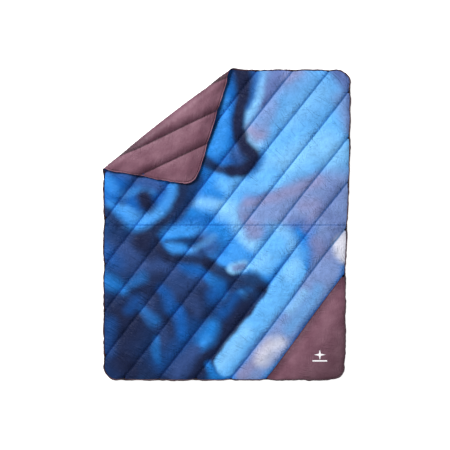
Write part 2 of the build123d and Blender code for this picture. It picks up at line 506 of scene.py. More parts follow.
class Nodes:
    """Adds shader nodes to one material, and wires values or sockets into them."""

    def __init__(self, name):
        self.material = bpy.data.materials.new(name)
        self.material.use_nodes = True
        self.tree = self.material.node_tree
        self.shader = self.tree.nodes["Principled BSDF"]

    def add(self, kind, inputs=(), out=0, **properties):
        node = self.tree.nodes.new(kind)
        for key, value in properties.items():
            setattr(node, key, value)
        for key, value in dict(inputs).items():
            self.wire(node.inputs[key], value)
        return node.outputs[out]

    def wire(self, socket, value):
        if isinstance(value, bpy.types.NodeSocket):
            self.tree.links.new(value, socket)
        elif isinstance(value, tuple) and len(value) == 3 and len(socket.default_value) == 4:
            socket.default_value = (*value, 1)
        else:
            socket.default_value = value

    def math(self, operation, a, b=0.0):
        return self.add("ShaderNodeMath", {0: a, 1: b}, operation=operation)

    def vector(self, operation, a, b):
        out = 1 if operation == "DOT_PRODUCT" else 0
        inputs = {0: a, "Scale" if operation == "SCALE" else 1: b}
        return self.add("ShaderNodeVectorMath", inputs, out=out, operation=operation)

    def part(self, vector, index):
        return self.add("ShaderNodeSeparateXYZ", {0: vector}, out=index)

    def spread(self, value, low, high, to_low=0.0, to_high=1.0):
        """value from low to high as an even S from to_low to to_high."""
        inputs = {"Value": value, "From Min": low, "From Max": high, "To Min": to_low, "To Max": to_high}
        return self.add("ShaderNodeMapRange", inputs, interpolation_type="SMOOTHSTEP")

    def mix(self, factor, a, b, blend="MIX"):
        node = self.tree.nodes.new("ShaderNodeMix")
        node.data_type = "RGBA"
        node.blend_type = blend
        for index, value in ((0, factor), (6, a), (7, b)):
            self.wire(node.inputs[index], value)
        return node.outputs[2]

    def darken(self, color, amount):
        """color times amount, a color too."""
        return self.mix(1.0, color, amount, "MULTIPLY")

    def grey(self, value):
        return self.add("ShaderNodeCombineColor", {0: value, 1: value, 2: value})

    def noise(self, vector, scale, detail=2.0, rough=0.5, out=0):
        inputs = {"Vector": vector, "Scale": scale, "Detail": detail, "Roughness": rough}
        return self.add("ShaderNodeTexNoise", inputs, out=out)

    def flat(self):
        """Where a point lies on the spread blanket."""
        return self.add("ShaderNodeUVMap", uv_map="flat")

    def place(self):
        """Where a point lies in its piece."""
        return self.add("ShaderNodeTexCoord", out=3)

    def turned(self, vector, turn=0.0, size=(1, 1, 1)):
        """vector on axes turned round z, with size as their units."""
        inputs = {"Vector": vector, "Rotation": (0, 0, turn), "Scale": size}
        return self.add("ShaderNodeMapping", inputs, vector_type="TEXTURE")

    def tubes(self, flat):
        """flat with x across the tubes and y along them."""
        return self.turned(flat, QUILT - pi / 2)

    def phase(self, flat, start):
        """How far across a tube flat is, from 0 to 1, if tubes begin start widths past a line."""
        past = self.math("SUBTRACT", self.part(self.tubes(flat), 0), LINES[0] + (start - 8) * PITCH)
        return self.math("FRACT", self.math("DIVIDE", past, PITCH))

    def bent(self, flat, scale):
        """The tubes' x and y pushed about in swirls, so that what follows them isn't straight."""
        push = self.vector("SCALE", self.noise(flat, scale, out=1), 0.05)
        return self.vector("ADD", self.tubes(flat), push)

    def finish(self, color, roughness, bumps, **constants):
        """Gives the shader its values. Each bump is (height, distance), laid over the one before."""
        inputs = {"Base Color": color, "Roughness": roughness, **constants}
        for height, distance in bumps:
            bump = {"Height": height, "Strength": 1.0, "Distance": distance}
            if "Normal" in inputs:
                bump["Normal"] = inputs["Normal"]
            inputs["Normal"] = self.add("ShaderNodeBump", bump)
        for key, value in inputs.items():
            self.wire(self.shader.inputs[key.replace("_", " ")], value)
        return self.material


def crinkle(m, flat, amount=1.0):
    """Fine creases that fan out from the seams, strongest beside them, as (height, distance)."""
    from_middle = m.math("ABSOLUTE", m.math("SUBTRACT", m.phase(flat, 0), 0.5))
    near = m.spread(from_middle, 0.05, 0.5, 0.3, 1.0)
    bent = m.bent(flat, 9.0)
    left = m.noise(m.turned(bent, 0.5, (0.050, 0.010, 1)), 1.0, 3.0, 0.55)
    right = m.noise(m.turned(bent, -0.6, (0.045, 0.009, 1)), 1.0, 3.0, 0.55)
    side = m.spread(m.noise(flat, 16.0), 0.42, 0.58)
    creases = m.add("ShaderNodeMapRange", {"Value": side, "To Min": left, "To Max": right})
    patches = m.spread(m.noise(flat, 7.0, 2.0), 0.3, 0.7, 0.35, 1.0)
    creases = m.math("MULTIPLY", creases, m.math("MULTIPLY", near, patches))
    # The middle seam gathers the cloth beside it.
    pucker = m.spread(m.math("ABSOLUTE", m.part(flat, 1)), 0.005, 0.05, 2.6, 1.0)
    crumple = m.math("MULTIPLY", m.noise(flat, 34.0, 3.0, 0.6), pucker)
    height = m.math("ADD", creases, m.math("MULTIPLY", crumple, 0.4))
    return (height, 0.012 * amount)


def folds(m, flat):
    """Sharper folds, a few centimetres long, that lie in from the seams, as (height, distance)."""
    run = m.noise(m.turned(m.bent(flat, 7.0), size=(0.13, 0.022, 1)), 1.0, 1.0, 0.4)
    from_valley = m.math("ABSOLUTE", m.math("SUBTRACT", run, 0.5))
    valley = m.math("MINIMUM", m.math("MULTIPLY", from_valley, 5.0), 1.0)
    patches = m.spread(m.noise(flat, 11.0, 1.0), 0.35, 0.6, 0.15)
    return (m.math("MULTIPLY", valley, patches), 0.004)


def seam_shade(m, flat, color, tint, before, after=0.008):
    """Tinted shadow along the sewn lines, reaching so far before each quilting line and after it."""
    from_line = m.math("MULTIPLY", m.math("SUBTRACT", m.phase(flat, -0.5), 0.5), PITCH)
    light_before = m.spread(m.math("MULTIPLY", from_line, -1.0), 0.001, before)
    light_after = m.spread(from_line, 0.001, after)
    light = m.math("MAXIMUM", light_before, light_after)
    # There is no line beyond the first and the last.
    from_centre = m.math("ABSOLUTE", m.math("SUBTRACT", m.part(m.tubes(flat), 0), LINES[5]))
    light = m.math("MAXIMUM", light, m.math("GREATER_THAN", from_centre, 5.5 * PITCH))
    middle_seam = m.spread(m.math("ABSOLUTE", m.part(flat, 1)), 0.001, 0.007, 0.35, 1.0)
    light = m.math("MULTIPLY", light, middle_seam)
    return m.darken(color, m.mix(light, tint, (1, 1, 1)))


def weave(m, flat):
    """A fine plain weave."""
    threads = {"Vector": flat, "Scale": 420.0}
    warp = m.add("ShaderNodeTexWave", threads, out=1, bands_direction="X")
    weft = m.add("ShaderNodeTexWave", threads, out=1, bands_direction="Y")
    return m.math("MAXIMUM", warp, weft)


INK = (0.012, 0.017, 0.052)
NAVY = (0.009, 0.032, 0.115)
DUSK = (0.035, 0.075, 0.23)
BLUE = (0.006, 0.10, 0.40)
AZURE = (0.014, 0.20, 0.64)
VIVID = (0.050, 0.30, 0.80)
CORNFLOWER = (0.11, 0.35, 0.72)
SKY = (0.12, 0.42, 0.86)
PALE = (0.24, 0.56, 0.91)
LILAC = (0.18, 0.27, 0.54)
MAUVE = (0.27, 0.24, 0.42)
VIOLET = (0.095, 0.13, 0.34)
CHALK = (0.66, 0.66, 0.74)

# The print: strokes of dye laid over each other on an azure cloth, in centimetres from the blanket's
# middle; the few marked below are painted shade rather than print. Each is its colour, its strength,
# how soft its edge is, and its run as (x, y, half width).
STROKES = [
    # the pale upper right
    (CORNFLOWER, 1, 0.3, [(22, 88, 14), (34, 60, 26), (52, 66, 30), (50, 36, 24), (20, 34, 12)]),
    (SKY, 0.9, 0.8, [(20, 36, 12), (40, 44, 12), (62, 58, 9)]),
    (PALE, 0.65, 0.9, [(16, 25, 6), (28, 32, 8), (45, 42, 7), (58, 48, 8)]),
    (PALE, 0.3, 1, [(38, 62, 5), (55, 78, 5)]),
    (PALE, 0.5, 0.9, [(62, 36, 5), (69, 44, 5)]),
    (LILAC, 0.9, 0.9, [(34, 92, 11), (27, 80, 6), (20, 66, 3)]),
    (VIOLET, 0.75, 0.9, [(31, 92, 5), (27, 82, 4), (22, 72, 2)]),
    (MAUVE, 0.5, 1, [(42, 91, 3), (36, 86, 3)]),
    # Painted shade, partly: this violet along the right edge is darkened for the shade where the edge
    # rolls away.
    (VIOLET, 0.9, 0.8, [(62, 93, 3), (70, 87, 6), (73, 78, 5), (73, 66, 4), (72, 56, 2)]),
    (LILAC, 0.6, 1, [(66, 74, 4), (71, 56, 3)]),
    (PALE, 0.8, 0.8, [(19, 94, 3), (18, 80, 3.4), (14, 66, 3), (12, 55, 3), (17, 46, 4.5)]),
    (MAUVE, 0.85, 0.9, [(14, 56, 3.4), (19, 53.5, 5)]),
    (LILAC, 0.75, 0.9, [(18, 60, 4), (22, 60, 4), (28, 70, 3)]),
    # the bright middle
    (VIVID, 1, 0.5, [(-8, 27, 7), (-14, 15, 7), (-6, 2, 9), (4, -14, 12), (24, -22, 9)]),
    (SKY, 0.9, 0.8, [(2, 22, 5), (14, 26, 6), (28, 30, 5)]),
    (SKY, 0.8, 0.9, [(-4, 24, 4), (4, 14, 6)]),
    (PALE, 0.75, 0.9, [(-19, 12, 2.5), (-12, 13, 4.5), (-4, 11, 3.5)]),
    (PALE, 0.85, 0.9, [(-4, 5, 3), (3, 8, 5.5), (5, 2, 4.5), (12, -8, 4), (19, -13, 4)]),
    (CORNFLOWER, 0.5, 1, [(10, 18, 5), (4, 24, 3)]),
    (AZURE, 0.9, 1, [(-20, 6, 5), (-10, 3, 5), (-3, -4, 6), (-4, -11, 4)]),
    (AZURE, 0.85, 1, [(-13, 30, 5), (-13, 21, 5), (-4, 18, 3)]),
    (BLUE, 0.8, 1, [(-14, 33, 4), (-18, 22, 4), (-24, 12, 3)]),
    (AZURE, 0.6, 1, [(-8, 26, 3), (-10, 22, 3)]),
    # the lilac drift to the right
    (LILAC, 1, 0.35, [(13, 8, 6.5), (26, 8, 10), (42, 13, 12), (58, 16, 15), (72, 14, 18)]),
    (LILAC, 1, 0.5, [(66, 4, 12), (62, -12, 10), (58, -28, 7), (50, -38, 7)]),
    (MAUVE, 0.55, 0.9, [(12, 14, 3), (26, 16, 3), (42, 21, 3.5), (54, 26, 3.5)]),
    (MAUVE, 0.5, 1, [(46, 12, 4), (54, 10, 4), (48, -2, 3)]),
    (LILAC, 0.95, 0.8, [(14, 2, 5.5), (18, -4, 6)]),
    (MAUVE, 0.4, 1, [(12, 4, 3), (16, -4, 3.5)]),
    (VIOLET, 0.45, 1, [(64, 20, 5), (58, 8, 4), (68, 2, 5)]),
    (CORNFLOWER, 0.6, 1, [(26, -2, 4), (36, -4, 3)]),
    (VIOLET, 0.5, 1, [(40, 1, 4), (46, 2, 3)]),
    (MAUVE, 0.5, 1, [(53, -10, 4), (62, -22, 4)]),
    (VIOLET, 0.4, 1, [(66, -6, 5), (52, -18, 4)]),
    # the sky lights below it
    (PALE, 0.7, 0.9, [(32, -5, 5), (38, -12, 5)]),
    (PALE, 0.5, 0.9, [(15, -12, 3)]),
    (SKY, 1, 0.7, [(22, -14, 5), (30, -12, 6), (24, -24, 5), (18, -24, 4)]),
    (PALE, 0.5, 1, [(17, -24, 3), (22, -20, 3.5)]),
    (AZURE, 0.6, 1, [(32, -26, 2.6), (27, -33, 3.2), (22, -31, 2)]),
    # the blue upper left
    (BLUE, 1, 0.4, [(-68, 26, 8), (-58, 14, 12), (-44, 14, 13), (-34, 20, 6)]),
    (AZURE, 0.7, 1, [(-70, 24, 4), (-66, 14, 3)]),
    (BLUE, 0.8, 0.8, [(-66, 16, 6), (-56, 28, 5), (-42, 26, 6)]),
    (BLUE, 0.7, 0.9, [(-54, 10, 5), (-48, 8, 4)]),
    # the dark lower left
    (NAVY, 1, 0.25, [(-66, -84, 16), (-64, -24, 22), (-44, -50, 34), (-30, -62, 32), (-6, -52, 24),
                       (-24, -76, 22)]),
    (DUSK, 0.7, 1, [(-66, -6, 5), (-58, -18, 8), (-44, -24, 8), (-34, -26, 6)]),
    (INK, 0.8, 1, [(-52, -9, 4), (-44, -17, 4)]),
    (INK, 0.7, 1, [(-40, -30, 4), (-52, -40, 6), (-62, -52, 6)]),
    (INK, 0.8, 1, [(-44, -44, 5), (-54, -60, 8), (-62, -78, 8), (-52, -88, 7), (-34, -92, 5)]),
    (DUSK, 0.35, 1, [(-46, -46, 4), (-46, -54, 3)]),
    (INK, 0.6, 1, [(-70, -46, 4), (-58, -60, 5), (-70, -72, 4), (-56, -84, 6)]),
    (DUSK, 0.5, 1, [(-18, -33, 7), (-30, -40, 6)]),
    (INK, 0.7, 1, [(-16, -42, 5), (-24, -48, 6), (-16, -54, 5)]),
    (INK, 0.7, 1, [(-34, -54, 4), (-33, -66, 5), (-36, -74, 4)]),
    (DUSK, 0.4, 1, [(-38, -62, 4), (-34, -70, 4)]),
    (AZURE, 0.7, 1, [(-76, -30, 4), (-68, -34, 4), (-61, -38, 3)]),
    (AZURE, 0.4, 1, [(-56, -34, 2.4), (-50, -31, 3.4)]),
    (BLUE, 0.5, 1, [(-72, -12, 4), (-66, -21, 5)]),
    (BLUE, 0.45, 1, [(-53, -45, 4), (-57, -50, 3)]),
    (BLUE, 0.3, 1, [(-68, -58, 4), (-70, -74, 4)]),
    (BLUE, 0.7, 1, [(-38, -38, 3), (-34, -44, 3.4), (-32, -50, 3)]),
    (BLUE, 0.8, 1, [(-28, -50, 3), (-27, -58, 3.4), (-26, -65, 2.6)]),
    (AZURE, 0.45, 1, [(-49, -50, 2.4), (-43, -56, 3.4)]),
    (AZURE, 0.45, 0.9, [(-41, -67, 2), (-41.5, -74, 2.6), (-40, -79, 2)]),
    (INK, 0.6, 1, [(-32, -70, 3), (-31, -80, 4), (-34, -88, 4)]),
    (DUSK, 0.5, 1, [(-20, -46, 4), (-17, -50, 3)]),
    (BLUE, 0.4, 1, [(-38, -82, 5), (-18, -60, 5)]),
    (BLUE, 0.8, 1, [(-26, -23, 3), (-18, -26, 4), (-12, -29, 3)]),
    (AZURE, 0.6, 1, [(-10, -31, 2.6), (-5, -35, 3.4), (-2, -40, 3)]),
    (BLUE, 0.7, 1, [(-3, -37, 4), (-8, -42, 4)]),
    (VIVID, 0.5, 1, [(8, -40, 1.6), (11, -43, 2)]),
    (NAVY, 0.6, 1, [(3, -35, 2.4), (8, -36, 2)]),
    (BLUE, 0.6, 1, [(6, -43, 3), (3, -48, 3.4), (-2, -52, 4)]),
    (INK, 0.85, 0.6, [(20, -39, 4), (12, -48, 6), (3, -59, 5.5), (-8, -72, 5), (-19, -88, 5)]),
    (AZURE, 0.9, 1, [(-8, -60, 4), (-12, -66, 4.6), (-15, -70, 3.4)]),
    (VIVID, 0.5, 1, [(-11, -66, 2), (-14, -70, 2)]),
    (DUSK, 0.9, 1, [(-18, -73, 3), (-26, -83, 4.4), (-31, -90, 3.6)]),
    # the wave between the dark and the bright
    (AZURE, 0.95, 0.5, [(-36, -2, 4), (-26, -6, 7), (-12, -8, 8), (-4, -14, 5)]),
    (BLUE, 0.7, 0.9, [(-26, 3, 3), (-20, 1, 4), (-12, 4, 2.6)]),
    (VIVID, 0.8, 0.9, [(-35, -5, 2.4), (-28, -3, 3.4), (-20, -4, 4), (-15, -3, 2.6)]),
    (DUSK, 0.8, 1, [(-14, -8, 4), (-9, -13, 5), (-16, -16, 4)]),
    (NAVY, 0.95, 0.9, [(-34, -10, 1.8), (-26, -9.5, 2.4), (-16, -8.5, 2.4)]),
    (VIVID, 0.8, 0.9, [(-32, -13, 3), (-28, -15, 3.4), (-23, -15, 2)]),
    (NAVY, 0.7, 1, [(-22, -12, 1.4), (-17, -13, 1.6), (-13, -18, 1.8)]),
    (CORNFLOWER, 0.4, 1, [(-20, -15, 1.5), (-12, -10, 2), (-7, -7, 1.6)]),
    (INK, 0.95, 0.7, [(-20, 28, 4), (-26, 21, 6), (-29, 12, 6), (-35, 4, 5), (-43, -2, 5), (-50, -10, 5)]),
    (NAVY, 0.8, 1, [(-17, 26, 3), (-23, 13, 3), (-30, 3, 2)]),
    (INK, 0.9, 0.8, [(-42, -8, 2), (-39, -15, 3), (-32, -20, 3), (-20, -20, 3.2), (-10, -23, 3.4)]),
    (INK, 0.85, 0.6, [(-12, -22, 3), (-3, -27, 3.4), (6, -31, 3.6), (15, -33, 5), (23, -37, 3.4)]),
    # the dark eye and the ring of light round it
    (VIVID, 0.75, 0.8, [(-68, 12, 2.5), (-60, 7, 4), (-53, 1, 4.2), (-42, 6, 3.4), (-35, 12, 3.2),
                        (-32, 22, 3)]),
    (SKY, 0.3, 0.9, [(-62, 11, 2), (-52, 5, 3), (-40, 7, 2.5)]),
    (VIVID, 0.7, 0.9, [(-61, 17, 2), (-52, 21, 2), (-44, 20, 2)]),
    (VIVID, 0.4, 1, [(-70, 27, 3), (-66, 21, 3)]),
    (DUSK, 0.8, 0.9, [(-72, 34, 3), (-58, 31, 4), (-47, 26, 4), (-40, 23, 3.5)]),
    # Painted shade: a navy line along a quilting line, for the seam's shadow.
    (NAVY, 0.6, 1, [(-52, 30, 3), (-62, 14, 2.4)]),
    (INK, 1, 0.75, [(-48.5, 17, 4.8), (-46.5, 12.5, 4.8)]),
    (INK, 0.9, 0.9, [(-74, 14, 2), (-70, 6, 4), (-64, 0, 4)]),
    (NAVY, 0.8, 0.9, [(-73, 2, 5), (-66, -5, 5), (-58, -6, 3)]),
    # the sky tube, and the lilac one beside it
    (SKY, 0.7, 1, [(44, -17, 4), (42, -22, 5)]),
    (SKY, 1, 0.14, [(41, -27, 7), (38, -31.5, 8), (24.2, -52, 7.6), (10.4, -69, 7.6), (0, -81.5, 7)]),
    (PALE, 0.6, 0.9, [(41, -23, 4), (38, -29, 4)]),
    (PALE, 0.6, 0.9, [(12, -62, 3.5), (3, -74, 4), (-3, -82, 3)]),
    (AZURE, 0.8, 0.9, [(-11, -82, 2), (-7, -89, 2.8), (4, -93, 2)]),
    (LILAC, 1, 0.45, [(61, -28, 9), (48, -48, 9), (34, -64, 9), (20, -80, 8), (12, -90, 7)]),
    (PALE, 0.6, 0.8, [(47, -40, 2.5), (38, -50, 3)]),
    (CORNFLOWER, 0.7, 1, [(56, -38, 3.5), (48, -50, 5), (38, -60, 4)]),
    # Painted shade: the next two strokes darken the tube beside its quilting lines, for the shade on its
    # flanks.
    (BLUE, 0.6, 1, [(62, -44, 2), (51, -57, 3), (42, -68, 2)]),
    (BLUE, 0.4, 1, [(22, -64, 1.6), (14, -74, 1.6), (6, -85, 1.6)]),
    (MAUVE, 0.6, 0.9, [(24, -70, 3), (15, -82, 3), (10, -88, 3)]),
    (CHALK, 0.7, 1, [(32, -69, 3.5), (25, -73, 4.5), (21, -79, 4)]),
    (CHALK, 0.95, 0.6, [(74, -6, 3.4), (70, -12, 5), (72, -19, 4)]),
    (CORNFLOWER, 0.6, 0.9, [(26, -88, 3), (34, -80, 2)]),
    # the dark hook by the turned corner
    (AZURE, 1, 0.4, [(-2, 90, 8), (0, 72, 9), (-2, 52, 9), (-4, 40, 8), (4, 40, 8)]),
    (BLUE, 0.7, 0.9, [(3, 86, 4), (4, 72, 4), (4, 60, 4), (4, 48, 3)]),
    (VIVID, 0.5, 1, [(0, 74, 2), (-2, 60, 3), (-5, 48, 3.6), (-6, 40, 3)]),
    # Painted shadow: a navy line along the turned corner's edge, for the shadow it casts.
    (NAVY, 0.9, 0.9, [(0, 92, 4), (-5, 76, 3.6), (-9, 60, 3.2), (-12, 46, 1.8)]),
    (DUSK, 0.85, 0.8, [(9, 45, 4.5), (7, 38, 5.5), (12, 36, 4)]),
    (INK, 0.5, 1, [(9, 47, 3), (12, 40, 4)]),
    (BLUE, 0.7, 1, [(3, 37, 3), (-7, 38, 3)]),
    (NAVY, 0.6, 1, [(3, 44, 1.6), (6, 36, 1.8)]),
    (BLUE, 0.9, 0.8, [(4, 90, 4), (15, 93, 5), (15, 82, 4), (12, 70, 2.6)]),
    (INK, 1, 0.6, [(8, 94, 6), (10, 86, 5.8), (9.5, 76, 4.4), (7.5, 66, 3.6), (6.5, 58, 3.6), (8, 52, 4)]),
    (INK, 1, 0.6, [(8, 52, 3.6), (11, 46.5, 3.8), (16, 40, 4.6), (15, 36, 5), (10, 32.5, 4.2),
                     (3, 31.5, 3.4)]),
    (INK, 0.9, 0.7, [(3, 31.5, 3.2), (-4, 32.5, 2.8), (-9, 35, 3), (-13, 38, 3)]),
    (AZURE, 0.5, 1, [(21, 44, 1.6), (20, 36, 2), (13, 28, 1.5)]),
    # the small ring
    (PALE, 0.9, 0.5, [(3.6, -25.5, 3.2), (10.5, -23.5, 3)]),
    (LILAC, 0.9, 0.6, [(5, -25, 1.9), (9.5, -23.8, 1.8)]),
]


def rounded(run, parts=4):
    """A run of (x, y, half width) points as a smooth line through them (Catmull-Rom)."""
    run = np.array(run, float)
    if len(run) < 3:
        return run
    ends = np.vstack([2 * run[0] - run[1], run, 2 * run[-1] - run[-2]])
    t = np.arange(parts)[:, None] / parts
    line = []
    for a, b, c, d in zip(ends, ends[1:], ends[2:], ends[3:]):
        curve = (c - a) * t + (2 * a - 5 * b + 4 * c - d) * t**2 + (3 * b - a - 3 * c + d) * t**3
        line += list(b + curve / 2)
    return np.array([*line, run[-1]])


def stroke_cover(where, run, soft):
    """How strongly a stroke covers points: a half at its half width, fading over soft of that."""
    line = rounded(run)
    best = np.zeros(len(where))
    for a, b in zip(line, line[1:] if len(line) > 1 else line):
        d = b[:2] - a[:2]
        t = np.clip((where - a[:2]) @ d / max(d @ d, 1e-9), 0, 1)
        away = np.linalg.norm(where - a[:2] - t[:, None] * d, axis=1)
        best = np.maximum(best, 0.5 + 0.5 * (1 - away / (a[2] + (b[2] - a[2]) * t)) / soft)
    return smooth(best)


def dyed_and_shaded(p):
    """The print's colour at flat points, with the painted shade of a few strokes."""
    drift = 0.007 * np.column_stack([clumps(p, 0.09, 21), clumps(p, 0.09, 22)])
    drift += 0.002 * np.column_stack([clumps(p, 0.03, 24), clumps(p, 0.03, 25)])
    where = (p + drift) * 100
    color = np.tile(np.array(AZURE), (len(p), 1))
    for dye, strength, soft, run in STROKES:
        run_points = np.array(run)
        reach = run_points[:, 2].max() * (1 + soft) + 6  # with room for the run's curves
        low = run_points[:, :2].min(axis=0) - reach
        high = run_points[:, :2].max(axis=0) + reach
        near = np.flatnonzero(np.all((where > low) & (where < high), axis=1))
        cover = stroke_cover(where[near], run, soft) * strength
        color[near] += (np.array(dye) - color[near]) * cover[:, None]
    smoke = 0.07 * clumps(where / 100, 0.09, 26) + 0.04 * clumps(where / 100, 0.03, 27)
    return color * (1 + smoke)[:, None]


def printed_fabric():
    m = Nodes("printed_fabric")
    flat = m.flat()
    color = m.add("ShaderNodeVertexColor", layer_name="dye")
    color = m.darken(color, m.grey(m.spread(m.noise(flat, 14.0, 5.0, 0.6), 0.25, 0.75, 0.95, 1.05)))
    color = seam_shade(m, flat, color, (0.36, 0.55, 0.72), 0.014)
    color = seam_shade(m, flat, color, (0.80, 0.86, 0.92), 0.050)
    rough = m.spread(m.noise(flat, 60.0), 0.3, 0.7, 0.36, 0.46)
    bumps = [folds(m, flat), crinkle(m, flat), (weave(m, flat), WEAVE_DEPTH)]
    return m.finish(color, rough, bumps, Specular_IOR_Level=0.07)


def lining_fabric(name, depth, over=1.0, corner=1.0):
    """The mauve cloth. depth and over are its brightness on the body and past the fold line; a low
    depth, as on the rim, is painted shade.

    corner is the share of that which is left at the blanket's lower right corner, a painted shade
    on the corner patch.
    """
    m = Nodes(name)
    flat = m.flat()
    tone = m.spread(m.noise(flat, 9.0, 3.0), 0.3, 0.7)
    color = m.mix(tone, (0.135, 0.052, 0.08), (0.195, 0.09, 0.125))
    from_fold = m.math("SUBTRACT", m.vector("DOT_PRODUCT", flat, (*FOLD_OUT, 0)), FOLD_AT)
    # Painted shade: this cloth darkens towards the lower right corner by the share corner, and a low depth
    # darkens it all over.
    corner_shade = m.spread(m.vector("DOT_PRODUCT", flat, (*ACROSS, 0)), 0.72, 1.10, 1.0, corner)
    dye = m.math("MULTIPLY", m.spread(from_fold, -0.005, 0.005, depth, over), corner_shade)
    color = m.darken(color, m.grey(dye))
    color = seam_shade(m, flat, color, (0.50, 0.36, 0.44), 0.010)
    color = seam_shade(m, flat, color, (0.40, 0.29, 0.36), 0.010, 0.065)
    # Painted shade: the lining darkens along the fold line, where the turned corner rolls over.
    fold_shade_fade = m.spread(m.math("ABSOLUTE", from_fold), 0.006, 0.035)
    color = m.mix(fold_shade_fade, m.darken(color, (0.55, 0.42, 0.5)), color)
    rough = m.spread(m.noise(flat, 60.0), 0.3, 0.7, 0.48, 0.6)
    bumps = [crinkle(m, flat, 0.7), (weave(m, flat), WEAVE_DEPTH)]
    return m.finish(color, rough, bumps, Sheen_Weight=0.08, Sheen_Roughness=0.4, Specular_IOR_Level=0.3)


def thread_yarn(name, dark, light):
    m = Nodes(name)
    place = m.place()
    color = m.mix(m.noise(place, 900.0), dark, light)
    return m.finish(color, 0.6, [(m.noise(place, 2500.0), 0.0002)], Sheen_Weight=0.1)


def loose_down():
    m = Nodes("loose_down")
    place = m.place()
    color = m.mix(m.noise(place, 60.0, 4.0), (0.80, 0.77, 0.70), (0.95, 0.93, 0.9))
    return m.finish(color, 0.95, [(m.noise(place, 180.0, 6.0, 0.7), 0.004)], Sheen_Weight=0.6)


def mark_print():
    m = Nodes("mark_print")
    place = m.place()
    worn = m.noise(place, 400.0, 3.0)
    color = m.mix(worn, (0.86, 0.84, 0.88), (0.97, 0.96, 0.98))
    return m.finish(color, 0.6, [(worn, 0.0002)])


# ------------------------ the blanket

print_cloth = printed_fabric()
lining_cloth = lining_fabric("lining_fabric", 1.0, 1.12)
# The corner patch fades to half towards its corner: painted shade.
patch_cloth = lining_fabric("patch_fabric", 1.3, corner=0.5)
# The rim's cloth is kept dark on the body: painted shade on the rolled edge.
shaded_rim_cloth = lining_fabric("lining_rim_shaded", 0.3, 1.3)
blue_thread = thread_yarn("face_thread", (0.006, 0.012, 0.05), (0.015, 0.03, 0.10))
mauve_thread = thread_yarn("lining_thread", (0.14, 0.05, 0.08), (0.24, 0.10, 0.15))

flat, triangles = flat_pattern(STEP)
loop = boundary_loop(triangles)
face_move, back_move = puffed(flat, triangles)

# Face: up from the sewn lines, only half way down to the seam across the middle.
full = CREST * 0.9 * bow(flat)
face_room = shaped(face_move[:, 2], CREST)
face_room += 0.55 * np.exp(-((flat[:, 1] / 0.028) ** 2)) * np.maximum(full - face_room, 0)
face = placed(np.column_stack([flat + face_move[:, :2], SEAM_Z + face_room]))

# Lining: down from the sewn lines to just over the ground, and rolled up round the edge.
back_room = shaped(back_move[:, 2], SEAM_Z - 0.0002)
back_flat = np.column_stack([flat + back_move[:, :2], SEAM_Z - back_room])
rim_flat, rim_faces, rim_places = rim(flat, loop, len(flat))
back = placed(np.concatenate([back_flat, rim_flat]))
back_uv = np.concatenate([flat, rim_places])
back_triangles = np.concatenate([triangles[:, ::-1], rim_faces])

face_normals = point_normals(face, triangles)
back_normals = point_normals(back, back_triangles)
face_middle = flat[triangles].mean(axis=1)
back_middle = back_uv[back_triangles].mean(axis=1)
on_panel = face_middle @ ACROSS > LINES[-1]
dye_and_shade_color = np.column_stack([dyed_and_shaded(flat), np.ones(len(flat))])


def face_piece(name, keep, material):
    """A part of the face, from the triangles kept, with the print's dye and painted shade at its points.
    """
    made = piece(name, face, triangles[keep], material, flat, face_normals)
    dye = made.data.color_attributes.new("dye", "FLOAT_COLOR", "POINT")
    shown = dye_and_shade_color[np.unique(triangles[keep])]
    dye.data.foreach_set("color", shown.astype(np.float32).ravel())
    return made


def back_piece(name, keep):
    """A part of the lining, from the triangles kept, with its rolled rim in the darker rim cloth, whose
    darkness is painted shade on the roll.
    """
    made = piece(name, back, back_triangles[keep], lining_cloth, back_uv, back_normals)
    made.data.materials.append(shaded_rim_cloth)
    of_rim = (np.arange(len(back_triangles)) >= len(triangles))[keep]
    made.data.polygons.foreach_set("material_index", of_rim.astype(np.int32))
    return made


print_lower = face_piece("print_lower", (face_middle[:, 1] < -BAND) & ~on_panel, print_cloth)
patch = face_piece("corner_patch", (face_middle[:, 1] < -BAND) & on_panel, patch_cloth)
print_seam = face_piece("print_seam", np.abs(face_middle[:, 1]) < BAND, print_cloth)
print_upper = face_piece("print_upper", face_middle[:, 1] > BAND, print_cloth)
lining_lower = back_piece("lining_lower", back_middle[:, 1] < -BAND)
lining_seam = back_piece("lining_seam", np.abs(back_middle[:, 1]) < BAND)
lining_upper = back_piece("lining_upper", back_middle[:, 1] > BAND)

for made in (print_lower, patch, lining_lower):
    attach(made, "lower_half")
for strip in (print_seam, lining_seam):
    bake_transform(strip)
for half in (print_upper, lining_upper):
    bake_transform(half)

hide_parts("face_lower_panel")
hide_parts("face_corner_panel")
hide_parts("face_upper_panel", "face_turned_corner")
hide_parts("back_lower")
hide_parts("back_upper", "back_corner", "corner_fold_roll")


# Stitching: along each quilting line and round the edge, on both sides.


def edge_runs(half, up):
    """Short runs round one half's edge, just inside the rolled rim."""
    ring = flat[loop] - outward(flat[loop]) * 0.0022
    pairs = zip(ring, np.roll(ring, -1, axis=0))
    return [(a, b, up) for a, b in pairs if half * (a[1] + b[1]) > 0]


def quilt_runs(half, up):
    """Runs along one half's quilting lines, as far as the strip that bends."""
    runs = []
    for line in LINES:
        ends = [p for _, p in crossings(flat[loop].tolist(), ACROSS, line)]
        a, b = (np.array(p) for p in sorted(ends, key=lambda p: p[1]))
        low = max(a[1], BAND) if half > 0 else a[1]
        high = min(b[1], -BAND) if half < 0 else b[1]
        if low < high:
            slope = (b - a) / (b[1] - a[1])
            runs.append((a + slope * (low - a[1]), a + slope * (high - a[1]), up))
    return runs


